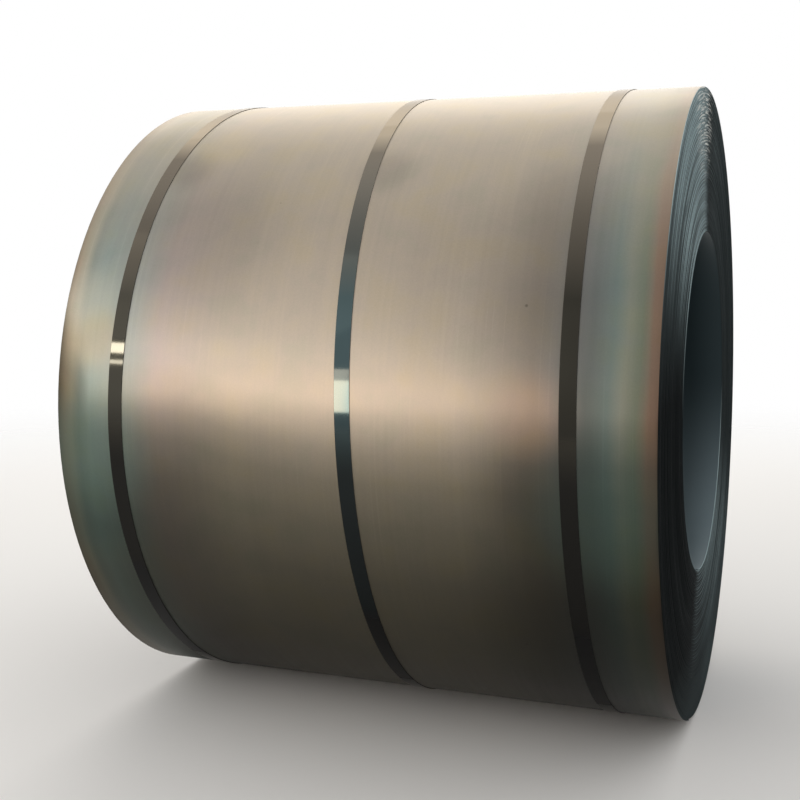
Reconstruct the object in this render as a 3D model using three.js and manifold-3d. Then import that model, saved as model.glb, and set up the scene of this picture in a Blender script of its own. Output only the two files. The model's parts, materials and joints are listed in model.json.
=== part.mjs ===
// A hot-rolled steel coil lying on its side: one strip wound into a coil round an open eye, held by three
// steel straps, each closed by a crimped seal.
//
// Millimetres, +Z up. +X runs along the coil's axis, -Y is the front, and the coil stands on z = 0 with the
// middle of its axis above the origin. The pieces are modelled in the coil's own frame, where Z is the axis,
// X points to the back and Y points up, and one group at the end turns and lifts that frame.

import * as THREE from "three";
import { mergeVertices } from "three/addons/utils/BufferGeometryUtils.js";
import Module from "manifold-3d";

// Driving dimensions.
const STRIP_WIDTH = 1250;
const TURN_PITCH = 3;
const EYE_DIAMETER = 762;
const COIL_DIAMETER = 1410;

const STRAP_WIDTH = 32;
const STRAP_THICKNESS = 1;
const SEAL_WALL = 0.9;
const SEAL_LENGTH = 50;
const SEAL_LIP = 9;
const NOTCH_RADIUS = 3.2;
const NOTCH_SPACING = 24;
const NOTCH_HEIGHT = 16;
const SEAT_GAP = 0.3; // what touches keeps this much air

// The turns' edges stand in and out on each end, by up to TELESCOPE, in groups of neighbouring turns.
const TELESCOPE = 2.4;
const TURNS_IN_GROUP = 6;

// Everything round is drawn with the same stations, one every STEP radians, counted along the strip from its
// outer end. Angles run from the back over the top to the front, and a facet, not a corner, lies at the bottom.
const STATIONS = 72;
const STEP = (2 * Math.PI) / STATIONS;
const BOTTOM = 1.5 * Math.PI;
const FOOT_STATION = 68; // where the bottom facet starts
const TAIL_ANGLE = BOTTOM + (FOOT_STATION + 0.5) * STEP; // both ends of the strip, low at the front
const SEAL_STATION = 41; // where the seals' facet starts, high at the back
const STRAP_END = 0.45; // how far past that facet a strap's ends reach, in stations

// Each strap's place along the axis, and how far it leans off square: millimetres along the axis for each
// millimetre towards the back and for each millimetre upwards.
const STRAPS = [
  { side: "left", along: -465, leanBack: 0.026, leanUp: 0.001 },
  { side: "middle", along: 4, leanBack: -0.03, leanUp: -0.035 },
  { side: "right", along: 466, leanBack: 0.005, leanUp: -0.011 },
];

const coilRadius = COIL_DIAMETER / 2;
const eyeRadius = EYE_DIAMETER / 2;

const MILL_SCALE = { color: 0x7d7264, roughness: 0.38, metalness: 0.9 };
const VARNISHED_STEEL = { color: 0x2b2c29, roughness: 0.2, metalness: 0.85 };
const ZINC = { color: 0x8b8f91, roughness: 0.42, metalness: 0.9 };

const wasm = await Module();
wasm.setup();

// A three.js geometry as a manifold solid.
function toSolid(geometry) {
  const bare = new THREE.BufferGeometry();
  bare.setAttribute("position", geometry.getAttribute("position"));
  bare.setIndex(geometry.index);
  const merged = mergeVertices(bare, 1e-3);
  const mesh = new wasm.Mesh({
    numProp: 3,
    vertProperties: new Float32Array(merged.attributes.position.array),
    triVerts: new Uint32Array(merged.index.array),
  });
  return new wasm.Manifold(mesh);
}

// A manifold solid as a three.js geometry.
function toGeometry(solid) {
  const { vertProperties, triVerts } = solid.getMesh();
  const geometry = new THREE.BufferGeometry();
  geometry.setAttribute("position", new THREE.BufferAttribute(vertProperties, 3));
  geometry.setIndex(new THREE.BufferAttribute(triVerts, 1));
  geometry.computeVertexNormals();
  return geometry;
}

// The whole numbers from first to last.
function range(first, last) {
  return Array.from({ length: last - first + 1 }, (_, i) => first + i);
}

function onCircle(radius, angle) {
  return new THREE.Vector2(radius * Math.cos(angle), radius * Math.sin(angle));
}

// The coil's outside at a whole station, or a point that stands off it. The strip's outer end is at station
// 0, and from there the outline winds in, up the front, over the top and down the back.
function outside(station, standOff = 0) {
  const radius = coilRadius - (TURN_PITCH * station) / STATIONS;
  return onCircle(radius + standOff, TAIL_ANGLE - station * STEP);
}

// The eye's wall at a whole number of steps along the strip from its inner end.
function eyeWall(step) {
  return onCircle(eyeRadius + (TURN_PITCH * step) / STATIONS, TAIL_ANGLE + step * STEP);
}

// The wound strip with flat ends: a spiral outside and a spiral eye, each with the step of a cut end.
function woundStrip() {
  const outline = new THREE.Shape(range(0, STATIONS).map((i) => outside(i)));
  outline.holes.push(new THREE.Path(range(0, STATIONS).map(eyeWall)));
  const wound = new THREE.ExtrudeGeometry(outline, { depth: STRIP_WIDTH, bevelEnabled: false });
  return wound.translate(0, 0, -STRIP_WIDTH / 2);
}

// How deep each group of turns sits behind an end's foremost group, from the eye outwards.
function groupDepths(phase) {
  const count = Math.round((coilRadius - eyeRadius) / (TURN_PITCH * TURNS_IN_GROUP));
  const sway = range(1, count).map((g) => Math.sin(2.4 * g + phase) + 0.6 * Math.sin(0.7 * g - phase));
  const foremost = Math.max(...sway);
  const spread = foremost - Math.min(...sway);
  return sway.map((s) => (TELESCOPE * (foremost - s)) / spread);
}

// What is turned off an end to set each group of turns at its own depth: a ring over the end, with a
// stepped underside. It faces +Z for the right end and -Z for the left one.
function endRelief(phase, facing) {
  const clear = 5;
  const groupWidth = TURN_PITCH * TURNS_IN_GROUP;
  const depths = groupDepths(phase);
  const innermost = eyeRadius - clear;
  const outermost = coilRadius + clear;
  const profile = depths.flatMap((depth, g) => {
    const from = g === 0 ? innermost : eyeRadius + g * groupWidth;
    const to = g === depths.length - 1 ? outermost : eyeRadius + (g + 1) * groupWidth;
    const level = depth > 0 ? -depth : clear / 2; // the foremost group isn't touched
    return [new THREE.Vector2(from, level), new THREE.Vector2(to, level)];
  });
  profile.push(new THREE.Vector2(outermost, clear), new THREE.Vector2(innermost, clear), profile[0].clone());
  const end = profile.map(({ x, y }) => new THREE.Vector2(x, facing * (y + STRIP_WIDTH / 2)));
  if (facing < 0) end.reverse();
  // A lathe turns about Y from +Z towards +X, so after this turn its first corner lies at TAIL_ANGLE.
  return new THREE.LatheGeometry(end, STATIONS, TAIL_ANGLE + Math.PI / 2).rotateX(Math.PI / 2);
}

function coil() {
  const wound = toSolid(woundStrip());
  const dressed = wound.subtract(toSolid(endRelief(0.4, 1))).subtract(toSolid(endRelief(2.9, -1)));
  return piece("coil", toGeometry(dressed), MILL_SCALE);
}

// How far a strap is lifted off the coil at a whole station. It runs over the seal's lips at the seal, and
// on its second pass, from the station before the seal, it also runs over its own first end.
function strapLift(station) {
  const turn = station % STATIONS;
  const atSeal = turn === SEAL_STATION || turn === SEAL_STATION + 1;
  const secondPass = station >= SEAL_STATION + STATIONS - 1;
  return (atSeal ? SEAL_WALL + SEAT_GAP : 0) + (secondPass ? STRAP_THICKNESS + SEAT_GAP : 0);
}

// A point on a strap's path, at any station, with its stand-off from the strap's lowest run.
function strapPoint(station, standOff) {
  const corner = (i) => outside(i % STATIONS, strapLift(i) + standOff);
  const before = Math.floor(station);
  return corner(before).lerp(corner(before + 1), station - before);
}

// A strap before it is notched: its long section, seen along the coil's axis, pushed out to its width.
function strapBand() {
  const first = SEAL_STATION - STRAP_END;
  const last = SEAL_STATION + 1 + STATIONS + STRAP_END;
  const path = [first, ...range(Math.ceil(first), Math.floor(last)), last];
  const underside = path.map((station) => strapPoint(station, SEAT_GAP));
  const topside = path.map((station) => strapPoint(station, SEAT_GAP + STRAP_THICKNESS));
  const section = new THREE.Shape([...underside, ...topside.reverse()]);
  const band = new THREE.ExtrudeGeometry(section, { depth: STRAP_WIDTH, bevelEnabled: false });
  return band.translate(0, 0, -STRAP_WIDTH / 2);
}

// From a flat seat, where X runs along the strap and Y away from the coil, to the seals' facet on the coil.
function toSealFacet() {
  const from = outside(SEAL_STATION);
  const to = outside(SEAL_STATION + 1);
  const along = to.clone().sub(from);
  const middle = from.clone().lerp(to, 0.5);
  return new THREE.Matrix4().makeRotationZ(along.angle()).setPosition(middle.x, middle.y, 0);
}

// The seal before it is notched. It wraps both passes of the strap, and its lips are turned in under them.
function sealSleeve() {
  const half = STRAP_WIDTH / 2 + SEAT_GAP + SEAL_WALL;
  const lip = half - SEAL_LIP;
  const lipTop = SEAT_GAP + SEAL_WALL;
  const roof = lipTop + 2 * STRAP_THICKNESS + 3 * SEAT_GAP;
  const corners = [
    [half - SEAL_WALL, roof],
    [half - SEAL_WALL, lipTop],
    [lip, lipTop],
    [lip, SEAT_GAP],
    [half, SEAT_GAP],
    [half, roof + SEAL_WALL],
  ];
  const right = corners.map(([across, out]) => new THREE.Vector2(across, out));
  const left = right.map(({ x, y }) => new THREE.Vector2(-x, y)).reverse();
  const section = new THREE.Shape([...right, ...left]);
  const sleeve = new THREE.ExtrudeGeometry(section, { depth: SEAL_LENGTH, bevelEnabled: false });
  const onSeat = sleeve.translate(0, 0, -SEAL_LENGTH / 2).rotateY(Math.PI / 2);
  return onSeat.applyMatrix4(toSealFacet());
}

// The half-moon bites that the sealing tool takes out of both edges of the seal and of the strap in it.
function notches() {
  const edge = STRAP_WIDTH / 2 + SEAT_GAP + SEAL_WALL;
  const places = [-1, 1].flatMap((end) => [-1, 1].map((side) => [(end * NOTCH_SPACING) / 2, side * edge]));
  const bites = places.map(([along, across]) => {
    const bite = new THREE.CylinderGeometry(NOTCH_RADIUS, NOTCH_RADIUS, NOTCH_HEIGHT, 12);
    return toSolid(bite.translate(along, 0, across).applyMatrix4(toSealFacet()));
  });
  return bites.reduce((all, bite) => all.add(bite));
}

// A named piece with a material of its own.
function piece(name, geometry, finish) {
  const mesh = new THREE.Mesh(geometry, new THREE.MeshStandardMaterial(finish));
  mesh.name = name;
  return mesh;
}

// One strap with its seal, at its place along the axis. Both are slanted by the strap's lean.
function strapping({ side, along, leanBack, leanUp }) {
  const lean = new THREE.Matrix4().set(1, 0, 0, 0, 0, 1, 0, 0, leanBack, leanUp, 1, 0, 0, 0, 0, 1);
  const bites = notches();
  const strap = toSolid(strapBand()).subtract(bites);
  const seal = toSolid(sealSleeve()).subtract(bites);
  const group = new THREE.Group();
  group.add(piece(`strap_${side}`, toGeometry(strap).applyMatrix4(lean), VARNISHED_STEEL));
  group.add(piece(`seal_${side}`, toGeometry(seal).applyMatrix4(lean), ZINC));
  group.position.z = along;
  return group;
}

// Everything in the coil's frame, rolled by a hair so that the facet it stands on lies level.
function strappedCoil() {
  const foot = [FOOT_STATION, FOOT_STATION + 1].map((i) => outside(i, SEAT_GAP + STRAP_THICKNESS));
  const slope = Math.atan2(foot[0].y - foot[1].y, foot[0].x - foot[1].x);
  const rolled = new THREE.Group();
  rolled.add(coil(), ...STRAPS.map(strapping));
  rolled.rotation.z = -slope;
  rolled.position.y = -foot[0].rotateAround(new THREE.Vector2(), -slope).y;
  return rolled;
}

// From the coil's frame to the object's: its axis becomes X, its back Y and its top Z.
const steelCoil = new THREE.Group();
steelCoil.add(strappedCoil());
steelCoil.quaternion.setFromAxisAngle(new THREE.Vector3(1, 1, 1).normalize(), (2 * Math.PI) / 3);

export default steelCoil;
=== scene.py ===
import json
import math

import bmesh
import bpy
import numpy as np
from bpy.props import FloatProperty, FloatVectorProperty, IntProperty, PointerProperty
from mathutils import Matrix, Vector


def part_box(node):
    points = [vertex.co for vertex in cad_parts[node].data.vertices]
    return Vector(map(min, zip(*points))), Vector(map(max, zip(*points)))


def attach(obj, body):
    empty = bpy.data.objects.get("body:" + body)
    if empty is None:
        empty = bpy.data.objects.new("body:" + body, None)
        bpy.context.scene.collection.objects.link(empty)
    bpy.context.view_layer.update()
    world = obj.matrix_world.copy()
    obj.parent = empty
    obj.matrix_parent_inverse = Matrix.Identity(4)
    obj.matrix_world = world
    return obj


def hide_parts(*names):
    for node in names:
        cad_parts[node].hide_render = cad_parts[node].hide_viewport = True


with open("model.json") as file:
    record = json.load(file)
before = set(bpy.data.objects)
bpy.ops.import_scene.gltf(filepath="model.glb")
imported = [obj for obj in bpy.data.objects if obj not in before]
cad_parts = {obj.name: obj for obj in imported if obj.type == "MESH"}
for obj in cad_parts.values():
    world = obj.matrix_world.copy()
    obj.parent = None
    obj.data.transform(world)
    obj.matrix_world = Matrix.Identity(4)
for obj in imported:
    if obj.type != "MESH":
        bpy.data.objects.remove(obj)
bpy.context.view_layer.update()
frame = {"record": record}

bl_info = {
    "name": "Strapped Steel Coil",
    "version": (1, 0, 0),
    "blender": (4, 5, 0),
    "location": "3D View > Sidebar > Steel Coil",
    "description": "Winds a hot-rolled steel coil, straps and seals it, and sets it in a pale studio",
    "category": "Object",
}

# The coil lies along X. Angles round it run from the back (+Y) over the top to the front, and stations run
# the other way, along the strip, from its outer end.
EYE_BOX = frame["record"]["physics"]["openings"][0]["box_m"]
AXIS_HEIGHT = (EYE_BOX[0][2] + EYE_BOX[1][2]) / 2  # the eye's box lies evenly about the axis
COIL_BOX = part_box("coil")
STATIONS = 72  # round the coil, one for each flat of the solids
STEP = 2 * math.pi / STATIONS
TAIL_ANGLE = math.radians(252.5)  # both ends of the strip, low at the front
SPIN_ANGLE = math.radians(359.9)  # just short of a full turn, which keeps its first and last columns apart
SEAL_STATION = 41  # where the seals' facet starts, high at the back
SEAT_GAP = 0.0003  # what touches keeps this much air
RING_LINES = (0.0, 0.24, 0.76)  # a turn's groove and its two shoulders, in turns from its inner side
EDGE_REACH = 0.0045  # faces centred closer than this to an end are mill edge
FOLD = 0.0012  # the outer radius of a seal's folds
ROUNDING = 0.00015  # of a seal's sheared edges
BITE_DEPTH = 0.016  # the length of the tool that cuts the bites
MERGE = 0.00001  # points closer than this are one
HAIR = 0.000001  # lengths and angles that differ by less are equal
# Each strap's place along X, and how far it leans along X for each metre towards the back and upwards.
STRAPS = {
    "left": (-0.465, 0.026, 0.001),
    "middle": (0.004, -0.030, -0.035),
    "right": (0.466, 0.005, -0.011),
}


def rgb(hex_colour):
    """An sRGB hex colour as linear red, green, blue and alpha."""
    channels = [int(hex_colour[i : i + 2], 16) / 255 for i in (1, 3, 5)]
    return [c / 12.92 if c <= 0.04045 else ((c + 0.055) / 1.055) ** 2.4 for c in channels] + [1.0]


# ---------------------------------------------------------------- settings


def length(name, description, default):
    return FloatProperty(
        name=name, description=description, default=default, min=0, precision=4, unit="LENGTH"
    )


def quantity(name, description, default):
    return FloatProperty(name=name, description=description, default=default, min=0)


def count(name, description, default, least):
    return IntProperty(name=name, description=description, default=default, min=least)


def colour(name, description, default):
    return FloatVectorProperty(
        name=name, description=description, default=rgb(default), size=4, min=0, max=1, subtype="COLOR"
    )


class CoilSettings(bpy.types.PropertyGroup):
    """The wound strip"""

    strip_width: length("Strip width", "From one end of the coil to the other", COIL_BOX[1].x - COIL_BOX[0].x)
    eye_radius: length("Eye radius", "From the axis to the eye's wall, at the strip's inner end", 0.381)
    coil_radius: length("Coil radius", "From the axis to the outside, at the strip's outer end", 0.7043)
    turns: count("Turns", "Turns of strip from the eye to the outside", 108, 2)
    scatter: length("Edge scatter", "How far the turns' edges stand in and out on an end", 0.0024)
    groove: length("Groove", "How deep the groove between two neighbouring edges is", 0.0008)
    columns: count("Columns", "Faces round one turn", 128, 24)
    rows: count("Rows", "Faces across the strip", 16, 4)
    middle_scale: colour("Middle scale", "The oxide on the middle of the strip", "#c6b9a8")
    cool_scale: colour("Cool scale", "The oxide in the band inside the strip's left edge", "#a0ada7")
    teal_scale: colour("Teal scale", "The oxide in the band inside the strip's right edge", "#96a6a0")
    heat_tint: colour("Heat tint", "The tint along the strip's left edge", "#b8a892")
    edge_dark: colour("Edges", "The turns' edges on the ends", "#101314")
    # Also the colour of the painted light on the ends' up-facing shoulders and front upper quarter.
    edge_rubbed_and_lit: colour("Rubbed edges", "The same edges where they are rubbed or dusty", "#a5b9bc")
    eye_dark: colour("Eye, above", "The eye's wall, overhead", "#29363a")
    eye_dusty: colour("Eye, below", "The eye's wall where dust lies on it", "#69777c")


class StrappingSettings(bpy.types.PropertyGroup):
    """The straps and their seals"""

    width: length("Strap width", "Width of a strap", 0.032)
    thickness: length("Strap thickness", "Thickness of a strap", 0.001)
    wall: length("Seal wall", "Thickness of a seal's sheet", 0.0009)
    seal_length: length("Seal length", "Length of a seal along its strap", 0.050)
    lip: length("Seal lip", "How far a seal's lips are turned in under the strap", 0.009)
    bite_radius: length("Bite radius", "Radius of the sealing tool's half-moon bites", 0.0032)
    bite_spacing: length("Bite spacing", "Between the two bites in one edge", 0.024)
    lap: quantity("Lap", "How far a strap's ends reach past the seal's facet, in stations", 0.45)
    brown_varnish: colour("Brown varnish", "The outer straps", "#38352c")
    blue_varnish: colour("Blue varnish", "The middle strap", "#38484a")
    # Also the colour of the painted sky reflection on the straps' upper faces.
    dust_and_sheen: colour("Dust", "What settles on the straps where they face up", "#94897a")
    zinc: colour("Zinc", "The seals", "#9a9fa2")


class StageSettings(bpy.types.PropertyGroup):
    """The floor, the light and the camera"""

    floor_radius: length("Floor radius", "From the coil's middle to where the floor has faded away", 6.5)
    floor_paint: colour("Floor", "The floor's paint", "#ebeae8")
    sky: quantity("Sky", "The studio's light from the sides", 0.83)
    backdrop: quantity("Backdrop", "Brightness behind the coil; 1 is white", 1.0)
    key: quantity("Key light", "Radiance of the big soft light", 0.35)
    back: quantity("Back light", "Radiance of the soft light behind", 1.2)
    side: quantity("Side light", "Radiance of the soft light at the left", 1.8)
    window: quantity("Window light", "Radiance of the low bright light", 7.6)
    lens: FloatProperty(name="Lens", description="Focal length", default=54.63, subtype="DISTANCE_CAMERA")


# ---------------------------------------------------------------- modelling


def start_mesh():
    """Leaves edit mode and deselects everything, so that the next primitive is alone."""
    if bpy.context.mode != "OBJECT":
        bpy.ops.object.mode_set(mode="OBJECT")
    bpy.ops.object.select_all(action="DESELECT")


def name_active(name):
    obj = bpy.context.active_object
    obj.name = obj.data.name = name
    return obj


def select(obj, kind, test):
    """In edit mode, selects only the vertices, edges or faces that pass the test."""
    mesh = bmesh.from_edit_mesh(obj.data)
    bpy.ops.mesh.select_all(action="DESELECT")
    mesh.select_mode = {{"verts": "VERT", "edges": "EDGE", "faces": "FACE"}[kind]}
    for item in getattr(mesh, kind):
        item.select = bool(test(item))
    mesh.select_flush_mode()
    bmesh.update_edit_mesh(obj.data)


def points_of(obj):
    points = np.empty(len(obj.data.vertices) * 3)
    obj.data.vertices.foreach_get("co", points)
    return points.reshape(-1, 3)


def move_points(obj, *axes):
    obj.data.vertices.foreach_set("co", np.stack(axes, axis=1).reshape(-1))
    obj.data.update()


def apply_all(obj):
    """Applies an object's place, turn, scale and modifiers to its mesh."""
    bpy.ops.object.select_all(action="DESELECT")
    obj.select_set(True)
    bpy.context.view_layer.objects.active = obj
    bpy.ops.object.transform_apply(location=True, rotation=True, scale=True)
    for modifier in list(obj.modifiers):
        bpy.ops.object.modifier_apply(modifier=modifier.name)


def finish_piece(obj, node, materials, smooth_below):
    """Merges doubles, turns the faces outwards, smooths each edge that bends by less than smooth_below
    degrees, and puts the piece in its node's place."""
    bpy.ops.object.select_all(action="DESELECT")
    obj.select_set(True)
    bpy.context.view_layer.objects.active = obj
    bpy.ops.object.mode_set(mode="EDIT")
    bpy.ops.mesh.select_all(action="SELECT")
    bpy.ops.mesh.remove_doubles(threshold=MERGE)
    bpy.ops.mesh.normals_make_consistent(inside=False)
    bpy.ops.object.mode_set(mode="OBJECT")
    bpy.ops.object.shade_smooth_by_angle(angle=math.radians(smooth_below))
    for material in materials:
        obj.data.materials.append(material)
    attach(obj, "root")
    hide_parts(node)
    obj.select_set(False)


# ---------------------------------------------------------------- the coil


def edge_depth(turn, side, scatter):
    """How far behind the end's foremost plane the strip's edge lies, that many turns from its inner end.

    The strip wandered sideways in three waves, out of step with each other and from end to end.
    """
    phase = 0.9 if side > 0 else 2.6
    wander = 0.52 + 0.26 * np.sin(turn / 1.9 + phase) + 0.14 * np.sin(2.39 * turn + phase)
    wander += 0.075 * np.sin(4.03 * turn - phase)
    innermost = np.exp(-((turn / 1.2) ** 2))  # the first turn stands out, and forms the eye's rim
    return scatter * np.clip(wander * (1 - innermost), 0, 1)


def pitch_of(shape):
    """From one turn to the next."""
    return (shape.coil_radius - shape.eye_radius) / shape.turns


def wind(obj, shape):
    """Winds the spun rings into the strip's spiral, and sets every turn's edge at its own depth.

    A ring is one turn's edge: a groove, where it meets the turn inside it, and the two shoulders of its
    rounded edge. Ring n ends one pitch further out than it starts, where ring n + 1 starts.
    """
    x, back, up = points_of(obj).T
    pitch = pitch_of(shape)
    spun = np.mod(np.arctan2(up, back) + HAIR, 2 * np.pi)  # the hair keeps the first column from wrapping
    gone = np.clip(spun / SPIN_ANGLE, 0, 1)
    span = shape.coil_radius - pitch - shape.eye_radius
    lines = len(RING_LINES) * (shape.turns - 1)
    line = np.rint((np.hypot(back, up) - shape.eye_radius) / span * lines).astype(int)
    ring, part = line // len(RING_LINES), line % len(RING_LINES)
    radius = shape.eye_radius + (ring + np.choose(part, RING_LINES) + gone) * pitch
    angle = TAIL_ANGLE + gone * 2 * np.pi

    half = shape.strip_width / 2
    depth = np.zeros(len(x))
    for side in (-1, 1):
        own = edge_depth(ring + gone, side, shape.scatter)
        inner = edge_depth(ring - 1 + gone, side, shape.scatter)
        level = np.where(part == 0, np.maximum(own, inner) + shape.groove, own)
        depth = np.where(np.sign(x) == side, level, depth)
    at_end = np.abs(np.abs(x) - half) < MERGE
    x = np.where(at_end, np.sign(x) * (half - depth), x)
    move_points(obj, x, radius * np.cos(angle), AXIS_HEIGHT + radius * np.sin(angle))


def make_coil(shape):
    """Spins the strip's outline once about the axis, and winds the rings that it draws into a spiral."""
    wall_top = shape.coil_radius - pitch_of(shape)
    start_mesh()
    bpy.ops.mesh.primitive_grid_add(
        x_subdivisions=shape.rows, y_subdivisions=len(RING_LINES) * (shape.turns - 1), size=1,
        location=(0, (shape.eye_radius + wall_top) / 2, 0),
    )
    coil = name_active("coil_wound")
    coil.scale = (shape.strip_width, wall_top - shape.eye_radius, 1)
    apply_all(coil)
    bpy.ops.object.mode_set(mode="EDIT")
    select(coil, "verts", lambda vert: not vert.is_boundary)
    bpy.ops.mesh.delete(type="VERT")  # only the grid's outline stays
    bpy.ops.mesh.select_all(action="SELECT")
    bpy.ops.mesh.spin(steps=shape.columns, angle=SPIN_ANGLE, center=(0, 0, 0), axis=(-1, 0, 0))
    bpy.ops.object.mode_set(mode="OBJECT")
    wind(coil, shape)
    bpy.ops.object.mode_set(mode="EDIT")
    bpy.ops.mesh.select_all(action="SELECT")
    bpy.ops.mesh.remove_doubles(threshold=2 * MERGE)
    bpy.ops.mesh.select_mode(type="EDGE")
    bpy.ops.mesh.select_all(action="DESELECT")
    bpy.ops.mesh.select_non_manifold()
    bpy.ops.mesh.fill_holes(sides=0)  # the strip's two cut ends
    bpy.ops.object.mode_set(mode="OBJECT")
    return coil


def sort_coil_faces(coil, shape):
    """Gives the flank, the two ends and the eye's wall their own material slots."""
    middle = (shape.eye_radius + shape.coil_radius) / 2
    end = shape.strip_width / 2 - EDGE_REACH
    for face in coil.data.polygons:
        if abs(face.center.x) > end:
            face.material_index = 1
        elif math.hypot(face.center.y, face.center.z - AXIS_HEIGHT) < middle:
            face.material_index = 2


# ---------------------------------------------------------------- straps and seals


def coil_surface(station, shape):
    """The coil's outer radius along a strap, which climbs the step at the strip's end in one station."""
    pitch = pitch_of(shape)
    turned = np.mod(station, STATIONS)
    climb = np.clip(turned - (STATIONS - 1), 0, 1)
    return shape.coil_radius - pitch * turned / STATIONS + pitch * climb


def strap_lift(station, strapping):
    """A strap's height over the coil: it climbs over the seal's lips, and then over its own first end."""
    turned = np.mod(station, STATIONS)
    at_seal = np.clip(np.minimum(turned - SEAL_STATION + 1, SEAL_STATION + 2 - turned), 0, 1)
    on_top = np.clip(station - (SEAL_STATION + STATIONS - 2), 0, 1)
    return SEAT_GAP + (strapping.wall + SEAT_GAP) * at_seal + (strapping.thickness + SEAT_GAP) * on_top


def lay_round(obj, side, first_station, shape, lift=lambda station: 0):
    """Lays a flat piece round the coil: its X goes along the axis, its Y round it and its Z outwards."""
    along, lean_back, lean_up = STRAPS[side]
    x, y, z = points_of(obj).T
    station = first_station + y / (shape.coil_radius * STEP)
    angle = TAIL_ANGLE - station * STEP
    radius = coil_surface(station, shape) + lift(station) + z
    back, up = radius * np.cos(angle), radius * np.sin(angle)
    move_points(obj, x + along + lean_back * back + lean_up * up, back, AXIS_HEIGHT + up)


def cut_bites(obj, places, strapping):
    """Cuts the sealing tool's half-moon bites from both edges, at each place along a flat strap or seal."""
    edge = strapping.width / 2 + SEAT_GAP + strapping.wall
    start_mesh()
    bites = []
    for place in places:
        for x in (-edge, edge):
            for y in (-strapping.bite_spacing / 2, strapping.bite_spacing / 2):
                bpy.ops.mesh.primitive_cylinder_add(
                    vertices=24, radius=strapping.bite_radius, depth=BITE_DEPTH, location=(x, place + y, 0)
                )
                bites.append(bpy.context.active_object)
    for bite in bites:
        bite.select_set(True)
    bpy.ops.object.join()
    tool = bpy.context.active_object
    cut = obj.modifiers.new("Bites", "BOOLEAN")
    cut.object = tool
    cut.operation = "DIFFERENCE"
    cut.solver = "EXACT"
    apply_all(obj)
    bpy.data.objects.remove(tool, do_unlink=True)


def runs_along_y(edge):
    first, last = (vert.co for vert in edge.verts)
    return abs(first.x - last.x) < HAIR and abs(first.z - last.z) < HAIR and abs(first.y - last.y) > HAIR


def make_strap(side, strapping, shape):
    """A flat bar with rolled edges, notched for its seal and laid once round the coil with a lap."""
    first = SEAL_STATION - strapping.lap
    station_length = shape.coil_radius * STEP
    strap_length = (STATIONS + 1 + 2 * strapping.lap) * station_length
    start_mesh()
    bpy.ops.mesh.primitive_cube_add(size=1, location=(0, strap_length / 2, strapping.thickness / 2))
    strap = name_active(f"strap_{side}_band")
    strap.scale = (strapping.width, strap_length, strapping.thickness)
    apply_all(strap)
    bpy.ops.object.mode_set(mode="EDIT")
    select(strap, "edges", runs_along_y)
    bpy.ops.mesh.bevel(offset=0.35 * strapping.thickness, segments=3, affect="EDGES")
    for cuts in (7, 7, 3):  # into 8, then 64, then 256 lengths, short enough to follow the coil
        select(strap, "edges", runs_along_y)
        bpy.ops.mesh.subdivide(number_cuts=cuts)
    bpy.ops.object.mode_set(mode="OBJECT")
    under_seal = (0.5 + strapping.lap) * station_length
    cut_bites(strap, [under_seal, under_seal + STATIONS * station_length], strapping)
    lay_round(strap, side, first, shape, lambda station: strap_lift(station, strapping))
    return strap


def make_seal(side, strapping, shape):
    """A sleeve of sheet, open underneath between its two lips, notched and laid over the strap's lap."""
    height = 2 * strapping.wall + 2 * strapping.thickness + 3 * SEAT_GAP
    width = strapping.width + 2 * (SEAT_GAP + strapping.wall)
    start_mesh()
    bpy.ops.mesh.primitive_cube_add(size=1, location=(0, 0, SEAT_GAP + height / 2))
    seal = name_active(f"seal_{side}_sleeve")
    seal.scale = (width, strapping.seal_length, height)
    apply_all(seal)
    bpy.ops.object.mode_set(mode="EDIT")
    select(seal, "faces", lambda face: abs(face.normal.y) > 0.5)
    bpy.ops.mesh.delete(type="FACE")
    select(seal, "edges", runs_along_y)
    bpy.ops.mesh.bevel(offset=FOLD, segments=3, affect="EDGES")
    mouth = width / 2 - strapping.lip
    for x in (-mouth, mouth):
        select(seal, "faces", lambda face: face.normal.z < -0.9)
        bpy.ops.mesh.bisect(plane_co=(x, 0, 0), plane_no=(1, 0, 0))
    select(seal, "faces", lambda face: face.normal.z < -0.9 and abs(face.calc_center_median().x) < mouth)
    bpy.ops.mesh.delete(type="FACE")
    for eighth in range(-3, 4):
        bpy.ops.mesh.select_all(action="SELECT")
        bpy.ops.mesh.bisect(plane_co=(0, eighth * strapping.seal_length / 8, 0), plane_no=(0, 1, 0))
    bpy.ops.object.mode_set(mode="OBJECT")
    wall = seal.modifiers.new("Wall", "SOLIDIFY")
    wall.thickness = strapping.wall
    wall.offset = -1
    apply_all(seal)
    cut_bites(seal, [0], strapping)
    rounded = seal.modifiers.new("Edges", "BEVEL")
    rounded.width = ROUNDING
    rounded.segments = 2
    rounded.limit_method = "ANGLE"
    rounded.angle_limit = math.radians(40)
    apply_all(seal)
    lay_round(seal, side, SEAL_STATION + 0.5, shape)
    return seal


# ---------------------------------------------------------------- finishes


def add(tree, kind, inputs=None, stops=None, **settings):
    """Adds a node, sets it, gives its inputs values or links, and a ramp its stops. Returns the node."""
    node = tree.nodes.new("ShaderNode" + kind)
    for name, value in settings.items():
        setattr(node, name, value)
    for name, value in (inputs or {}).items():
        if isinstance(value, bpy.types.NodeSocket):
            tree.links.new(value, node.inputs[name])
        else:
            node.inputs[name].default_value = value
    if stops:
        elements = node.color_ramp.elements
        while len(elements) > 1:
            elements.remove(elements[-1])
        elements[0].position, elements[0].color = stops[0][0], stop_colour(stops[0][1])
        for place, value in stops[1:]:
            elements.new(place).color = stop_colour(value)
    return node


def stop_colour(value):
    """A ramp stop's colour: from a hex colour, a grey level, or a colour setting."""
    if isinstance(value, str):
        return rgb(value)
    return (value, value, value, 1) if isinstance(value, (int, float)) else value


def new_material(name):
    material = bpy.data.materials.new(name)
    material.use_nodes = True
    material.node_tree.nodes.clear()
    return material, material.node_tree


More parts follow.
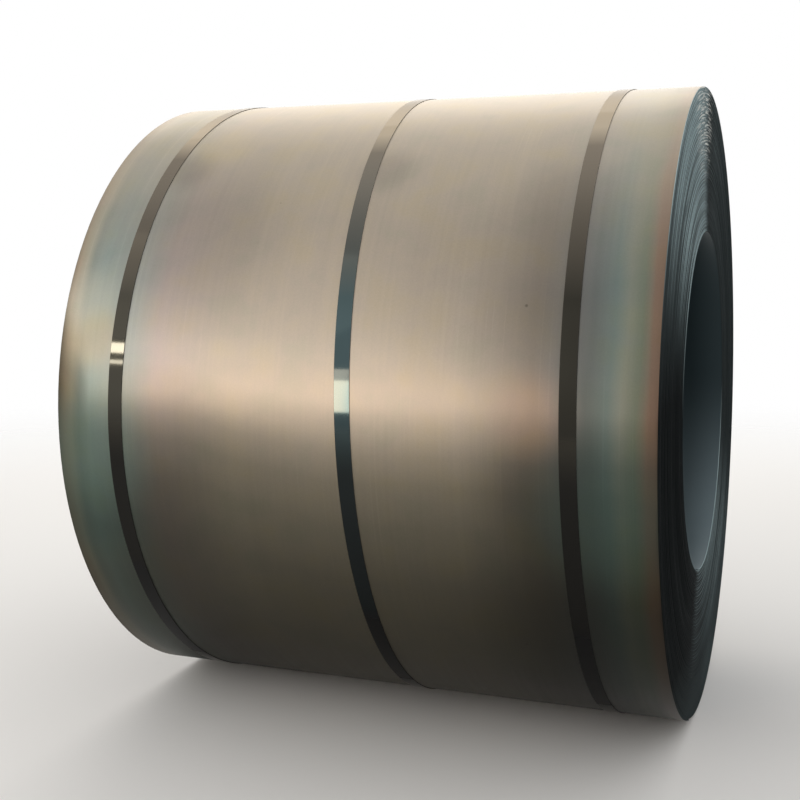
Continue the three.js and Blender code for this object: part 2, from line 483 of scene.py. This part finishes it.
def repeats(size):
    """A pattern's scale, in repeats per metre, for features of that size in millimetres."""
    return 1000 / size


def mill_scale(shape):
    """Hot-rolled mill scale: a tight oxide skin, smooth from the last rolls, with heat tints along both edges
    of the strip. The rolls leave a grain round the coil, which draws each highlight out along the axis."""
    material, tree = new_material("hot_rolled_mill_scale")
    place = add(tree, "TexCoord").outputs["Object"]
    axes = add(tree, "SeparateXYZ", {"Vector": place})
    height = axes.outputs["Z"]
    # Slow clouds, 0.2 to 0.5 m across, let the tints wander by about 10 mm.
    clouds = add(tree, "TexNoise", {
        "Vector": place, "Scale": repeats(333.3), "Detail": 3.0, "Roughness": 0.5,
    }).outputs["Fac"]
    drift = add(tree, "Math", {0: clouds, 1: 0.5}, operation="SUBTRACT")
    across = add(tree, "Math", {0: drift.outputs[0], 1: 0.04, 2: axes.outputs["X"]}, operation="MULTIPLY_ADD")
    share = add(tree, "MapRange", {
        "Value": across.outputs[0], "From Min": -shape.strip_width / 2, "From Max": shape.strip_width / 2,
    }).outputs[0]
    colour = heat_tints(tree, share, height, shape)
    # Painted shade over the tints: towards the floor, at the right, and low at the left.
    for shade in (painted_lower_shade(tree, share, height), painted_shading(tree, share, height)):
        shaded = add(tree, "MixRGB", {"Fac": 1.0, "Color1": colour, "Color2": shade}, blend_type="MULTIPLY")
        colour = shaded.outputs[0]
    colour = add_patches(tree, place, colour)

    # Blotches of warmer and cooler oxide, 60 to 120 mm across.
    blotch = add(tree, "TexNoise", {
        "Vector": place, "Scale": repeats(90.91), "Detail": 3.0, "Roughness": 0.55,
    })
    hue = add(tree, "ValToRGB", {"Fac": blotch.outputs["Fac"]}, stops=[
        (0.34, "#eff1f0"), (0.45, "#f4f3f4"), (0.55, "#f6f5f3"), (0.66, "#f7f5ee"),
    ])
    # The rolls' grain, 5 to 20 mm wide and running round the coil. The speckle in it is finer than it is
    # drawn: at 3 mm it is as coarse as it needs to be to show.
    lengthwise = add(tree, "Mapping", {
        "Vector": place, "Scale": (repeats(11.11), repeats(833.3), repeats(833.3)),
    })
    streaks = add(tree, "TexNoise", {"Vector": lengthwise.outputs[0], "Scale": 1.0, "Detail": 4.0})
    speckle = add(tree, "TexNoise", {"Vector": place, "Scale": repeats(3.125), "Detail": 2.0})
    grain = add(tree, "Math", {0: streaks.outputs["Fac"], 1: speckle.outputs["Fac"]}, operation="ADD")
    level = add(tree, "MapRange", {
        "Value": grain.outputs[0], "From Min": 0.6, "From Max": 1.4, "To Min": 0.92, "To Max": 1.07,
    })
    # Faint thin scratches round the coil, here and there.
    lines = add(tree, "TexNoise", {
        "W": axes.outputs["X"], "Scale": repeats(5.882), "Detail": 0.0,
    }, noise_dimensions="1D")
    thin = add(tree, "MapRange", {"Value": lines.outputs["Fac"], "From Min": 0.72, "From Max": 0.78})
    here = add(tree, "MapRange", {"Value": clouds, "From Min": 0.50, "From Max": 0.62, "To Max": 0.06})
    scratch = add(tree, "Math", {0: thin.outputs[0], 1: here.outputs[0], 2: 1.0}, operation="MULTIPLY_ADD")
    # A dark speck about 5 mm across every 0.2 m.
    cells = add(tree, "TexVoronoi", {"Vector": place, "Scale": repeats(200)})
    speck = add(tree, "MapRange", {
        "Value": cells.outputs["Distance"], "From Min": 0.010, "From Max": 0.020, "To Min": 0.55,
    })
    for layer in (hue, level, scratch, speck):
        worked = add(tree, "MixRGB", {"Fac": 1.0, "Color1": colour, "Color2": layer.outputs[0]},
                     blend_type="MULTIPLY")
        colour = worked.outputs[0]

    rough = add(tree, "MapRange", {
        "Value": grain.outputs[0], "From Min": 0.6, "From Max": 1.4, "To Min": 0.45, "To Max": 0.52,
    })
    bump = add(tree, "Bump", {"Height": speckle.outputs["Fac"], "Strength": 0.05, "Distance": 0.001})
    round_axis = add(tree, "Tangent", direction_type="RADIAL", axis="X")
    shader = add(tree, "BsdfPrincipled", {
        "Base Color": colour, "Metallic": 0.85, "Roughness": rough.outputs[0], "Anisotropic": 0.85,
        "Anisotropic Rotation": 0.25, "Tangent": round_axis.outputs[0], "Normal": bump.outputs[0],
    })
    add(tree, "OutputMaterial", {"Surface": shader.outputs[0]})
    return material


def heat_tints(tree, share, height, shape):
    """The oxide's colour across the strip, from its left edge to its right. Near the top the tints fade
    into a pale painted sheen, where the coil faces up."""
    tint = add(tree, "ValToRGB", {"Fac": share}, stops=[
        (0.0, "#8f8270"), (0.011, shape.heat_tint), (0.025, "#bdb7a4"), (0.04, "#9ba39a"),
        (0.065, shape.cool_scale), (0.145, "#b2b3ab"), (0.19, "#c3b5ac"), (0.30, shape.middle_scale),
        (0.70, shape.middle_scale), (0.82, "#b9ae9f"), (0.88, "#a6a6a2"), (0.93, shape.teal_scale),
        (0.95, "#a5aa9b"), (0.968, "#949d8a"), (0.978, "#a09987"), (0.985, "#a98f7c"), (0.996, "#a18774"),
        (1.0, "#7d6a5c"),
    ])
    painted_glare = add(tree, "MapRange", {
        "Value": height, "From Min": 0.95, "From Max": 1.32, "To Max": 0.8,
    }, interpolation_type="SMOOTHSTEP")
    faded = add(tree, "MixRGB", {
        "Fac": painted_glare.outputs[0], "Color1": tint.outputs[0], "Color2": rgb("#c5baa8"),
    })
    return faded.outputs[0]


def painted_lower_shade(tree, share, height):
    """Painted shade, deepening towards the floor. At the left it starts higher up, under the highlight band.
    """
    lift = add(tree, "ValToRGB", {"Fac": share}, stops=[
        (0.0, 0.21), (0.03, 0.17), (0.06, 0.07), (0.13, 0.07), (0.24, 0.066), (0.33, 0.03), (0.48, 0.0),
    ])
    above = add(tree, "Math", {0: height, 1: lift.outputs[0]}, operation="SUBTRACT")
    level = add(tree, "MapRange", {"Value": above.outputs[0], "From Max": 1.41})  # as high as the coil
    shade = add(tree, "ValToRGB", {"Fac": level.outputs[0]}, stops=[
        (0.0, "#61645f"), (0.12, "#6a6d67"), (0.27, "#7b7e79"), (0.36, "#92958f"), (0.42, "#aaaca7"),
        (0.46, "#cacbc8"), (0.49, "#eaeae7"), (0.53, "#ffffff"),
    ])
    return shade.outputs[0]


def painted_shading(tree, share, height):
    """How much light the scale keeps under painted shade at the right and on the lower half at the left."""
    # Painted shade beside the right strap, from halfway up.
    right = add(tree, "ValToRGB", {"Fac": share}, stops=[
        (0.60, 0.0), (0.70, 0.08), (0.76, 0.25), (0.82, 0.47), (0.90, 0.54), (0.945, 0.32), (1.0, 0.32),
    ])
    halfway = add(tree, "MapRange", {
        "Value": height, "From Min": 1.22, "From Max": 0.92,
    }, interpolation_type="SMOOTHSTEP")
    # Beyond the strap, painted shade at half height, and painted light lower down.
    beyond = add(tree, "ValToRGB", {"Fac": share}, stops=[(0.84, 0.0), (0.91, 0.14), (1.0, 0.22)])
    middle = add(tree, "ValToRGB", {"Fac": height}, stops=[
        (0.10, 0.3), (0.30, 0.0), (0.46, 0.0), (0.54, 0.33), (0.64, 0.95), (0.78, 1.0), (0.92, 0.33),
    ])
    half_height_shade = add(tree, "MapRange", {"Value": middle.outputs[0], "To Min": -0.5})
    beyond_shade = add(tree, "Math", {0: beyond.outputs[0], 1: half_height_shade.outputs[0]}, operation="MULTIPLY")
    right_shaded = add(tree, "Math", {0: right.outputs[0], 1: halfway.outputs[0], 2: beyond_shade.outputs[0]},
                 operation="MULTIPLY_ADD")
    # Painted shade on the lower half, strongest beside the left strap and weakest along the left edge.
    beside = add(tree, "ValToRGB", {"Fac": share}, stops=[
        (0.06, 0.0), (0.09, 0.25), (0.15, 0.5), (0.20, 0.5), (0.32, 0.25),
    ])
    beside_strength = add(tree, "Math", {0: beside.outputs[0], 1: 0.25}, operation="SUBTRACT")
    lower = add(tree, "MapRange", {
        "Value": height, "From Min": 0.70, "From Max": 0.54,
    }, interpolation_type="SMOOTHSTEP")
    lower_shaded = add(tree, "Math", {0: beside_strength.outputs[0], 1: lower.outputs[0]}, operation="MULTIPLY")
    painted_dark = add(tree, "Math", {0: right_shaded.outputs[0], 1: lower_shaded.outputs[0]}, operation="ADD")
    return add(tree, "Math", {0: 1.0, 1: painted_dark.outputs[0]}, operation="SUBTRACT").outputs[0]


def add_patches(tree, place, colour):
    """Lays soft round patches over the front. Each has its centre and reach in metres, its amount at the
    centre, and its colour."""
    for centre, reach, amount, patch_colour in (
        # Darker patches at the left, and smudges beside two straps.
        ((-0.33, -0.60, 1.07), 0.26, 0.20, "#453f46"),
        ((-0.43, -0.48, 1.22), 0.09, 0.25, "#4a4038"),
        ((0.04, -0.49, 1.20), 0.09, 0.18, "#453f46"),
        # A paler bloom near the top, and a warm and a pale painted highlight at the left edge.
        ((-0.37, -0.42, 1.27), 0.11, 0.35, "#d3c4a0"),
        ((-0.54, -0.69, 0.86), 0.09, 0.45, "#c8b08c"),
        ((-0.57, -0.66, 0.94), 0.10, 0.45, "#cfcbba"),
        # Teal scale below it, tinted by a painted cool reflection; the lower patch adds painted shade.
        ((-0.55, -0.70, 0.62), 0.18, 0.32, "#738f88"),
        ((-0.56, -0.67, 0.47), 0.15, 0.28, "#3a5550"),
        # Faint painted shade at the right.
        ((0.25, -0.66, 0.94), 0.29, 0.13, "#4a4038"),
        ((0.43, -0.56, 1.13), 0.16, 0.16, "#3a362c"),
        ((0.42, -0.70, 0.61), 0.16, 0.28, "#1d1a17"),
        # A warm painted highlight before the right strap, teal scale beyond it tinted by a painted cool
        #         # reflection, and painted shade below both.
        ((0.39, -0.70, 0.74), 0.11, 0.17, "#c39a80"),
        ((0.53, -0.69, 0.56), 0.20, 0.22, "#58766e"),
        ((0.45, -0.57, 0.27), 0.35, 0.22, "#14140f"),
    ):
        away = add(tree, "VectorMath", {0: place, 1: Vector(centre)}, operation="DISTANCE")
        patch = add(tree, "MapRange", {
            "Value": away.outputs["Value"], "From Min": reach, "From Max": reach / 5, "To Max": amount,
        }, interpolation_type="SMOOTHSTEP")
        patched = add(tree, "MixRGB", {
            "Fac": patch.outputs[0], "Color1": colour, "Color2": rgb(patch_colour),
        })
        colour = patched.outputs[0]
    return colour


def mill_edge(shape):
    """The strip's mill edges, side by side: rounded by the rolls and scaled dark. They give a black face of
    fine rings, which dust, handling and painted light turn slate grey on the shoulders that face up."""
    material, tree = new_material("scaled_mill_edges")
    place = add(tree, "TexCoord").outputs["Object"]
    centred = add(tree, "Mapping", {"Vector": place, "Location": (0, 0, -AXIS_HEIGHT)})
    axes = add(tree, "SeparateXYZ", {"Vector": centred.outputs[0]})
    back, height = axes.outputs["Y"], axes.outputs["Z"]
    flat = add(tree, "CombineXYZ", {"Y": back, "Z": height}).outputs[0]
    radius = add(tree, "VectorMath", {0: flat}, operation="LENGTH").outputs["Value"]
    facing = add(tree, "SeparateXYZ", {"Vector": add(tree, "NewGeometry").outputs["Normal"]}).outputs["Z"]
    # A tone for every one or two 3 mm turns, and rubs 30 to 70 mm across.
    rings = add(tree, "TexNoise", {
        "W": radius, "Scale": repeats(4.762), "Detail": 1.0,
    }, noise_dimensions="1D").outputs["Fac"]
    rubs = add(tree, "TexNoise", {
        "Vector": place, "Scale": repeats(62.5), "Detail": 5.0, "Roughness": 0.7,
    }).outputs["Fac"]

    # The innermost turn's rim is rubbed by the mandrel and the lifting hook, and carries a painted highlight
    # where it faces up.
    rim = add(tree, "MapRange", {
        "Value": radius, "From Min": shape.eye_radius + 0.009, "From Max": shape.eye_radius + 0.002,
        "To Max": 0.75,
    })
    above = add(tree, "MapRange", {"Value": facing, "From Max": 0.3})
    rim_rub_and_highlight = add(tree, "Math", {0: rim.outputs[0], 1: above.outputs[0]}, operation="MULTIPLY")
    # Dust thrown up from the floor greys the lowest turns.
    thrown = add(tree, "MapRange", {
        "Value": height, "From Min": -0.50, "From Max": -0.64, "To Max": 0.05,
    })
    # Painted light pales the front upper quarter, between its turns too. A ragged line at the top bounds it.
    ragged = add(tree, "Math", {0: rings, 1: 0.12, 2: back}, operation="MULTIPLY_ADD")
    front = add(tree, "MapRange", {
        "Value": ragged.outputs[0], "From Min": 0.08, "From Max": 0.03, "To Min": 0.1,
    })
    upper = add(tree, "MapRange", {"Value": height, "From Min": 0.05, "From Max": 0.45, "To Max": 0.10})
    painted_front_light = add(tree, "Math", {0: front.outputs[0], 1: upper.outputs[0]}, operation="MULTIPLY")
    # Sling rubs and painted light pale the top of the front half, whichever way its shoulders face.
    top_band = add(tree, "MapRange", {"Value": height, "From Min": 0.48, "From Max": 0.68, "To Max": 0.5})
    nearer = add(tree, "Math", {0: top_band.outputs[0], 1: front.outputs[0]}, operation="MULTIPLY")
    sling_rubs_and_light = add(tree, "Math", {0: nearer.outputs[0], 1: rubs}, operation="MULTIPLY")
    # A haze lies on the back half.
    haze = add(tree, "MapRange", {
        "Value": back, "From Min": -0.02, "From Max": 0.15, "To Min": 0.004, "To Max": 0.04,
    })
    amount = shoulder_light_and_dust(tree, height, facing, rings, rubs)
    for layer in (rim_rub_and_highlight, thrown, painted_front_light, sling_rubs_and_light, haze):
        amount = add(tree, "Math", {0: amount, 1: layer.outputs[0]}, operation="ADD").outputs[0]
    tone = add(tree, "MixRGB", {"Fac": amount, "Color1": shape.edge_dark, "Color2": shape.edge_rubbed_and_lit})
    shader = add(tree, "BsdfPrincipled", {
        "Base Color": add_scuffs(tree, flat, back, radius, tone.outputs[0]), "Roughness": 0.8, "IOR": 1.2,
        "Specular IOR Level": 0.1,
    })
    add(tree, "OutputMaterial", {"Surface": shader.outputs[0]})
    return material


def shoulder_light_and_dust(tree, height, facing, rings, rubs):
    """How much dust and painted light pale the shoulders that face up; near the floor they stay dark, painted
    shade.
    """
    up = add(tree, "MapRange", {
        "Value": facing, "From Min": 0.1, "From Max": 0.8,
    }, interpolation_type="SMOOTHSTEP")
    steep = add(tree, "Math", {0: up.outputs[0], 1: 1.9}, operation="POWER")
    high = add(tree, "MapRange", {"Value": height, "From Min": -0.60, "From Max": -0.05})
    dust_and_sheen = add(tree, "Math", {0: steep.outputs[0], 1: high.outputs[0]}, operation="MULTIPLY")
    worn = add(tree, "Math", {0: rings, 1: rubs}, operation="MULTIPLY")
    uneven = add(tree, "MapRange", {
        "Value": worn.outputs[0], "From Min": 0.12, "From Max": 0.42, "To Min": 0.75, "To Max": 1.45,
    })
    dusted_and_lit = add(tree, "Math", {0: dust_and_sheen.outputs[0], 1: uneven.outputs[0]}, operation="MULTIPLY")
    return dusted_and_lit.outputs[0]


def add_scuffs(tree, flat, back, radius, tone):
    """Lays pale scuffs over the tone round the topmost point, where the coil is handled. They run along the
    turns, one turn wide and 50 to 80 mm long."""
    turning = add(tree, "CombineXYZ", {"Y": back, "Z": radius})
    drawn = add(tree, "Mapping", {
        "Vector": turning.outputs[0], "Scale": (1.0, repeats(76.92), repeats(3.333)),
    })
    chips = add(tree, "TexNoise", {"Vector": drawn.outputs[0], "Scale": 1.0, "Detail": 2.0, "Roughness": 0.6})
    chipped = add(tree, "MapRange", {"Value": chips.outputs["Fac"], "From Min": 0.50, "From Max": 0.66})
    aside = add(tree, "VectorMath", {0: flat, 1: Vector((0, -0.08, 0.65))}, operation="DISTANCE")
    handled = add(tree, "MapRange", {"Value": aside.outputs["Value"], "From Min": 0.17, "From Max": 0.07})
    scuffs = add(tree, "Math", {0: handled.outputs[0], 1: chipped.outputs[0]}, operation="MULTIPLY")
    scuffed = add(tree, "MixRGB", {
        "Fac": scuffs.outputs[0], "Color1": tone, "Color2": rgb("#dcdcd6"),
    })
    return scuffed.outputs[0]


def eye_scale(shape):
    """The strip's inner face in the eye: blue-grey scale that nothing has polished, dull with settled dust
    towards the bottom."""
    material, tree = new_material("eye_wall_scale")
    place = add(tree, "TexCoord").outputs["Object"]
    axes = add(tree, "SeparateXYZ", {"Vector": place})
    clouds = add(tree, "TexNoise", {"Vector": place, "Scale": repeats(200), "Detail": 4.0})
    settled = add(tree, "MapRange", {
        "Value": axes.outputs["Z"], "From Min": 0.75, "From Max": 0.34,
    }, interpolation_type="SMOOTHSTEP")
    uneven = add(tree, "MapRange", {"Value": clouds.outputs["Fac"], "To Min": 0.8, "To Max": 1.2})
    amount = add(tree, "Math", {0: settled.outputs[0], 1: uneven.outputs[0]}, operation="MULTIPLY")
    tone = add(tree, "MixRGB", {
        "Fac": amount.outputs[0], "Color1": shape.eye_dark, "Color2": shape.eye_dusty,
    })
    shader = add(tree, "BsdfPrincipled", {
        "Base Color": tone.outputs[0], "Metallic": 0.7, "Roughness": 0.55,
    })
    add(tree, "OutputMaterial", {"Surface": shader.outputs[0]})
    return material


def varnished_strapping(name, varnish, dust_and_sheen):
    """Cold-rolled strapping, painted and waxed: dark and smooth. Its clear wax mirrors each light with a hard
    edge. Dust dulls it where it faces up; there dust and a painted sky reflection pale it, most over its
    crown. Painted shade darkens its lower half."""
    material, tree = new_material(name)
    place = add(tree, "TexCoord").outputs["Object"]
    axes = add(tree, "SeparateXYZ", {"Vector": place})
    clouds = add(tree, "TexNoise", {"Vector": place, "Scale": repeats(166.7), "Detail": 3.0})
    # Painted shade deepens the varnish on the lower half.
    height = add(tree, "MapRange", {
        "Value": axes.outputs["Z"], "From Min": 0.60, "From Max": 0.76, "To Min": 0.15,
    }, interpolation_type="SMOOTHSTEP")
    uneven = add(tree, "MapRange", {"Value": clouds.outputs["Fac"], "To Min": 0.85, "To Max": 1.15})
    level = add(tree, "Math", {0: height.outputs[0], 1: uneven.outputs[0]}, operation="MULTIPLY")
    tone = add(tree, "MixRGB", {"Fac": 1.0, "Color1": varnish, "Color2": level.outputs[0]},
               blend_type="MULTIPLY")
    facing = add(tree, "SeparateXYZ", {"Vector": add(tree, "NewGeometry").outputs["Normal"]}).outputs["Z"]
    # Dust and a painted sky reflection where the strap faces up, and a pale painted highlight over its crown.
    settled = add(tree, "MapRange", {"Value": facing, "From Min": 0.35, "From Max": 0.85})
    dusted_and_lit = add(tree, "MixRGB", {"Fac": settled.outputs[0], "Color1": tone.outputs[0], "Color2": dust_and_sheen})
    crown = add(tree, "MapRange", {"Value": facing, "From Min": 0.77, "From Max": 0.83})
    crown_lit = add(tree, "MixRGB", {
        "Fac": crown.outputs[0], "Color1": dusted_and_lit.outputs[0], "Color2": rgb("#c6b8a2"),
    })
    rough = add(tree, "MapRange", {"Value": settled.outputs[0], "To Min": 0.07, "To Max": 0.35})
    shader = add(tree, "BsdfPrincipled", {
        "Base Color": crown_lit.outputs[0], "Metallic": 1.0, "Roughness": rough.outputs[0],
        "Coat Weight": 0.35, "Coat Roughness": 0.05, "Specular Tint": (0.2, 0.2, 0.2, 1.0),
    })
    add(tree, "OutputMaterial", {"Surface": shader.outputs[0]})
    return material


def zinc_sheet(strapping):
    """Zinc-coated sheet, crimped. It gives a pale grey satin with a faint spangle, about 4 mm across."""
    material, tree = new_material("zinc_coated_sheet")
    place = add(tree, "TexCoord").outputs["Object"]
    spangle = add(tree, "TexVoronoi", {"Vector": place, "Scale": repeats(3.846)})
    level = add(tree, "MapRange", {"Value": spangle.outputs["Distance"], "To Min": 1.0, "To Max": 0.75})
    tone = add(tree, "MixRGB", {"Fac": 1.0, "Color1": strapping.zinc, "Color2": level.outputs[0]},
               blend_type="MULTIPLY")
    shader = add(tree, "BsdfPrincipled", {
        "Base Color": tone.outputs[0], "Metallic": 1.0, "Roughness": 0.38,
    })
    add(tree, "OutputMaterial", {"Surface": shader.outputs[0]})
    return material


# ---------------------------------------------------------------- stage


def make_floor(stage):
    """A pale painted floor, solid over the inner third of its radius. Beyond, it fades away."""
    start_mesh()
    bpy.ops.mesh.primitive_circle_add(vertices=96, radius=stage.floor_radius, fill_type="NGON")
    floor = name_active("studio_floor")
    material, tree = new_material("pale_floor_paint")
    place = add(tree, "TexCoord").outputs["Object"]
    distance = add(tree, "VectorMath", {0: place}, operation="LENGTH")
    fade = add(tree, "MapRange", {
        "Value": distance.outputs["Value"], "From Min": stage.floor_radius * 0.35,
        "From Max": stage.floor_radius * 0.98,
    }, interpolation_type="SMOOTHSTEP")
    paint = add(tree, "BsdfDiffuse", {"Color": stage.floor_paint})
    clear = add(tree, "BsdfTransparent")
    surface = add(tree, "MixShader", {"Fac": fade.outputs[0], 1: paint.outputs[0], 2: clear.outputs[0]})
    add(tree, "OutputMaterial", {"Surface": surface.outputs[0]})
    floor.data.materials.append(material)


def make_sky(stage):
    """A plain studio: white behind the coil, dimmer in front of it and overhead, with a glow at the left."""
    world = bpy.data.worlds.new("pale_studio")
    world.use_nodes = True
    tree = world.node_tree
    tree.nodes.clear()
    direction = add(tree, "TexCoord").outputs["Generated"]
    level = stage.sky
    # Each lobe's direction, the cosines to it at its rim and at its core, and what the core adds.
    for towards, rim, core, amount in (
        ((0, 1, 0), 0.0, 0.65, stage.backdrop - stage.sky),
        ((0.17, -0.98, 0.10), 0.80, 0.97, -0.4 * stage.sky),
        ((-0.60, -0.78, 0.28), 0.86, 0.98, 0.35),
        ((-0.15, -0.62, 0.77), 0.75, 0.97, -0.18),
    ):
        cosine = add(tree, "VectorMath", {0: direction, 1: Vector(towards).normalized()},
                     operation="DOT_PRODUCT")
        lobe = add(tree, "MapRange", {
            "Value": cosine.outputs["Value"], "From Min": rim, "From Max": core, "To Max": amount,
        }, interpolation_type="SMOOTHSTEP")
        level = add(tree, "Math", {0: level, 1: lobe.outputs[0]}, operation="ADD").outputs[0]
    sky = add(tree, "Background", {"Color": (1, 1, 1, 1), "Strength": level})
    add(tree, "OutputWorld", {"Surface": sky.outputs[0]})
    bpy.context.scene.world = world


def make_softbox(name, centre, width, height, radiance, warmth):
    """An even rectangle of light that faces the coil's middle, and that the camera doesn't see."""
    lamp = bpy.data.lights.new(name, "AREA")
    lamp.shape = "RECTANGLE"
    lamp.size, lamp.size_y = width, height
    lamp.energy = radiance * math.pi * width * height
    lamp.color = rgb(warmth)[:3]
    obj = bpy.data.objects.new(name, lamp)
    bpy.context.scene.collection.objects.link(obj)
    obj.location = centre
    towards_lamp = Vector(centre) - Vector((0, 0, AXIS_HEIGHT))
    obj.rotation_euler = towards_lamp.to_track_quat("Z", "Y").to_euler()
    obj.visible_camera = False


def make_softboxes(stage):
    """The soft lights. A warmer pane stands before the window with a head over it, and two tubes hang to its
    left: the varnished straps mirror them."""
    # Name, centre, width, height, radiance and colour.
    for softbox in (
        ("key_softbox", (-4.0, -4.4, 4.6), 4.6, 4.0, stage.key, "#fffaf2"),
        ("back_softbox", (-1.6, 4.4, 4.2), 5.6, 4.0, stage.back, "#fff6ea"),
        ("window", (-2.05, -6.0, 0.99), 1.75, 1.13, stage.window, "#fff3e2"),
        ("window_pane", (-2.31, -5.9, 1.00), 0.28, 1.11, 0.95 * stage.window, "#ffa66a"),
        ("window_head", (-2.31, -5.9, 1.76), 0.28, 0.40, 0.75 * stage.window, "#ffd1b8"),
        ("side_softbox", (-4.6, -4.4, 2.85), 1.5, 2.0, stage.side, "#fff6ea"),
        ("high_tube", (-4.0, -6.0, 2.53), 0.8, 0.40, 2.6 * stage.window, "#fffbf4"),
        ("low_tube", (-4.0, -6.0, 1.97), 0.8, 0.15, 1.8 * stage.window, "#fffbf4"),
    ):
        make_softbox(*softbox)


def make_camera(stage):
    """The camera stands right of the coil's middle, a little above its axis, and looks slightly down."""
    right, back, above_axis = 0.9345, -2.8288, 0.3128
    tilt, turn = math.radians(86.68), math.radians(20.42)
    camera = bpy.data.cameras.new("studio_camera")
    camera.sensor_width = 36.0
    camera.lens = stage.lens
    camera.shift_y = -0.0836  # the frame sits lower than the lens's axis
    obj = bpy.data.objects.new("studio_camera", camera)
    bpy.context.scene.collection.objects.link(obj)
    obj.location = (right, back, AXIS_HEIGHT + above_axis)
    obj.rotation_euler = (tilt, 0, turn)
    bpy.context.scene.camera = obj


# ---------------------------------------------------------------- operators


class STEELCOIL_OT_wind_coil(bpy.types.Operator):
    """Wind the strip into the coil and give it its scale"""

    bl_idname = "steelcoil.wind_coil"
    bl_label = "Wind Coil"

    def execute(self, context):
        shape = context.scene.steelcoil_coil
        coil = make_coil(shape)
        finishes = [mill_scale(shape), mill_edge(shape), eye_scale(shape)]
        finish_piece(coil, "coil", finishes, smooth_below=60)
        sort_coil_faces(coil, shape)
        return {"FINISHED"}


class STEELCOIL_OT_lay_straps(bpy.types.Operator):
    """Lay the three straps round the coil"""

    bl_idname = "steelcoil.lay_straps"
    bl_label = "Lay Straps"

    def execute(self, context):
        shape, strapping = context.scene.steelcoil_coil, context.scene.steelcoil_strapping
        brown = varnished_strapping("brown_varnished_strapping", strapping.brown_varnish, strapping.dust_and_sheen)
        blue = varnished_strapping("blue_varnished_strapping", strapping.blue_varnish, strapping.dust_and_sheen)
        for side in STRAPS:
            strap = make_strap(side, strapping, shape)
            varnish = blue if side == "middle" else brown
            finish_piece(strap, f"strap_{side}", [varnish], smooth_below=12)
        return {"FINISHED"}


class STEELCOIL_OT_crimp_seals(bpy.types.Operator):
    """Crimp a seal over each strap's lap"""

    bl_idname = "steelcoil.crimp_seals"
    bl_label = "Crimp Seals"

    def execute(self, context):
        shape, strapping = context.scene.steelcoil_coil, context.scene.steelcoil_strapping
        zinc = zinc_sheet(strapping)
        for side in STRAPS:
            seal = make_seal(side, strapping, shape)
            finish_piece(seal, f"seal_{side}", [zinc], smooth_below=40)
        return {"FINISHED"}


class STEELCOIL_OT_set_stage(bpy.types.Operator):
    """Set the floor, the light and the camera"""

    bl_idname = "steelcoil.set_stage"
    bl_label = "Set Stage"

    def execute(self, context):
        stage = context.scene.steelcoil_stage
        make_floor(stage)
        make_sky(stage)
        make_softboxes(stage)
        make_camera(stage)
        context.scene.view_settings.view_transform = "Standard"
        return {"FINISHED"}


class STEELCOIL_PT_panel(bpy.types.Panel):
    """The coil's settings and the steps that build it"""

    bl_label = "Steel Coil"
    bl_space_type = "VIEW_3D"
    bl_region_type = "UI"
    bl_category = "Steel Coil"

    def draw(self, context):
        steps = (
            ("steelcoil_coil", (STEELCOIL_OT_wind_coil,)),
            ("steelcoil_strapping", (STEELCOIL_OT_lay_straps, STEELCOIL_OT_crimp_seals)),
            ("steelcoil_stage", (STEELCOIL_OT_set_stage,)),
        )
        for group, operators in steps:
            box = self.layout.box()
            settings = getattr(context.scene, group)
            for name in settings.__annotations__:
                box.prop(settings, name)
            for operator in operators:
                box.operator(operator.bl_idname)


CLASSES = (
    CoilSettings,
    StrappingSettings,
    StageSettings,
    STEELCOIL_OT_wind_coil,
    STEELCOIL_OT_lay_straps,
    STEELCOIL_OT_crimp_seals,
    STEELCOIL_OT_set_stage,
    STEELCOIL_PT_panel,
)


def register():
    for cls in CLASSES:
        bpy.utils.register_class(cls)
    bpy.types.Scene.steelcoil_coil = PointerProperty(type=CoilSettings)
    bpy.types.Scene.steelcoil_strapping = PointerProperty(type=StrappingSettings)
    bpy.types.Scene.steelcoil_stage = PointerProperty(type=StageSettings)


def unregister():
    del bpy.types.Scene.steelcoil_stage
    del bpy.types.Scene.steelcoil_strapping
    del bpy.types.Scene.steelcoil_coil
    for cls in reversed(CLASSES):
        bpy.utils.unregister_class(cls)


def main():
    register()
    bpy.ops.steelcoil.wind_coil()
    bpy.ops.steelcoil.lay_straps()
    bpy.ops.steelcoil.crimp_seals()
    bpy.ops.steelcoil.set_stage()


if __name__ == "__main__":
    main()
